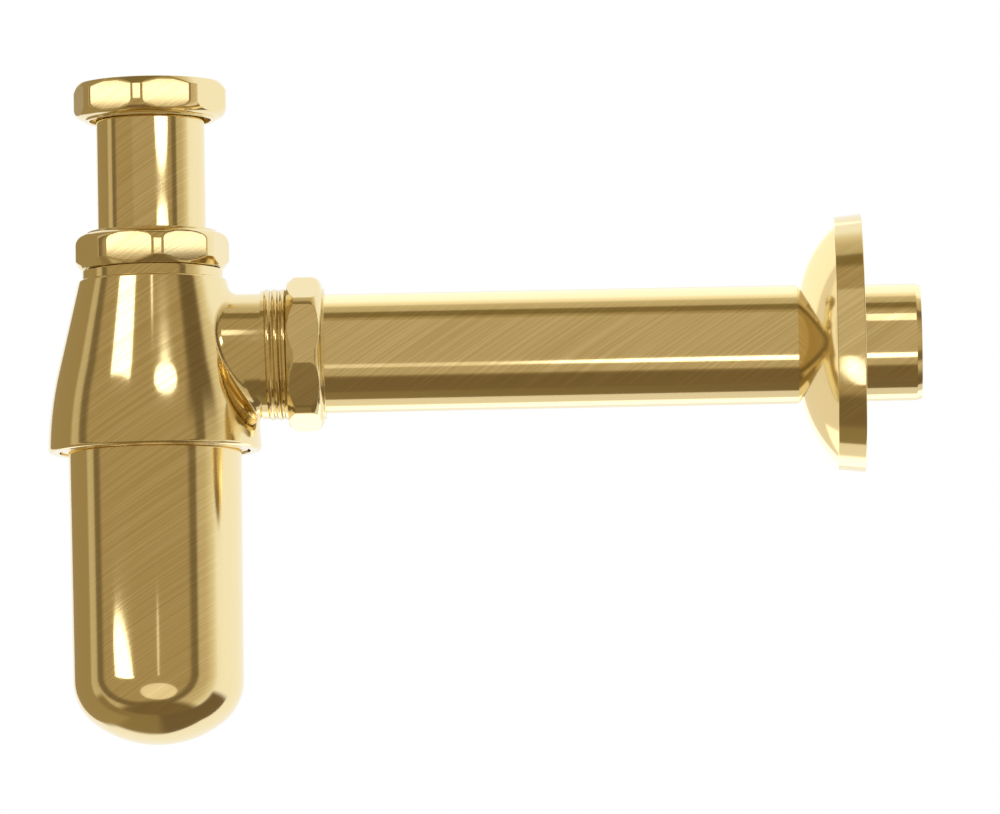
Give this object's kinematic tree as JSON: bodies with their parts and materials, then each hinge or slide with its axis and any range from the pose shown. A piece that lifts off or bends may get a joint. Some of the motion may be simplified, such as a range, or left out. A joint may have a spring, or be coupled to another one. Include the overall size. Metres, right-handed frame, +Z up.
{
  "type": "bottle trap",
  "caption": "Polished brass bottle trap for a wash basin, with a screw-off cup, a sliding inlet tube, union nuts and an outlet pipe with a wall flange.",
  "frame": {"origin": "middle of the mouth of the inlet nut, on the inlet axis", "axes": "+Z up, out of the inlet towards the basin; +X along the outlet pipe, towards the wall"},
  "size_m": [0.2574, 0.0762, 0.1954],
  "materials": {
    "polished_brass": "polished",
    "black_rubber": "matt",
    "white_plastic": "matt"
  },
  "bodies": {
    "trap_body": {"trap_body": "polished_brass", "neck_seal": "black_rubber"},
    "inlet_tube": {"inlet_tube": "polished_brass", "inlet_washer": "black_rubber"},
    "inlet_union_nut": {"inlet_union_nut": "polished_brass"},
    "neck_slip_ring": {"neck_slip_ring": "white_plastic"},
    "neck_nut": {"neck_nut": "polished_brass"},
    "cup_seal": {"cup_seal": "black_rubber"},
    "bottle_cup": {"bottle_cup": "polished_brass"},
    "outlet_gasket": {"outlet_gasket": "black_rubber"},
    "outlet_pipe": {"outlet_pipe": "polished_brass"},
    "outlet_nut": {"outlet_nut": "polished_brass"},
    "wall_flange": {"wall_flange": "polished_brass"}
  },
  "joints": [
    {"name": "inlet_height", "type": "slide", "parent": "trap_body", "child": "inlet_tube", "axis": [0, 0, 1], "range_m": [-0.02, 0.03]},
    {"name": "inlet_nut_turn", "type": "hinge", "parent": "inlet_tube", "child": "inlet_union_nut", "pos_m": [0, 0, 0], "axis": [0, 0, 1], "continuous": true},
    {"name": "neck_nut_rise", "type": "slide", "parent": "trap_body", "child": "neck_slip_ring", "axis": [0, 0, 1], "range_m": [0, 0.00693]},
    {"name": "neck_nut_turn", "type": "hinge", "parent": "neck_slip_ring", "child": "neck_nut", "pos_m": [0, 0, -0.05], "axis": [0, 0, 1], "range_deg": [0, 1080]},
    {"name": "cup_drop", "type": "slide", "parent": "trap_body", "child": "cup_seal", "axis": [0, 0, -1], "range_m": [0, 0.01]},
    {"name": "cup_turn", "type": "hinge", "parent": "cup_seal", "child": "bottle_cup", "pos_m": [0, 0, -0.1], "axis": [0, 0, -1], "range_deg": [0, 1800]},
    {"name": "outlet_draw", "type": "slide", "parent": "trap_body", "child": "outlet_gasket", "axis": [1, 0, 0], "range_m": [0, 0.00577]},
    {"name": "outlet_swivel", "type": "hinge", "parent": "outlet_gasket", "child": "outlet_pipe", "pos_m": [0.04, 0, -0.081], "axis": [1, 0, 0], "continuous": true},
    {"name": "outlet_nut_turn", "type": "hinge", "parent": "outlet_pipe", "child": "outlet_nut", "pos_m": [0.04, 0, -0.081], "axis": [1, 0, 0], "range_deg": [0, 900]},
    {"name": "flange_slide", "type": "slide", "parent": "outlet_pipe", "child": "wall_flange", "axis": [1, 0, 0], "range_m": [-0.13, 0.012]}
  ],
  "couplings": [
    {"joint": "neck_nut_turn", "follows": "neck_nut_rise", "rad_per_m": 2721.2},
    {"joint": "cup_turn", "follows": "cup_drop", "rad_per_m": 3141.6},
    {"joint": "outlet_nut_turn", "follows": "outlet_draw", "rad_per_m": 2721.2}
  ]
}
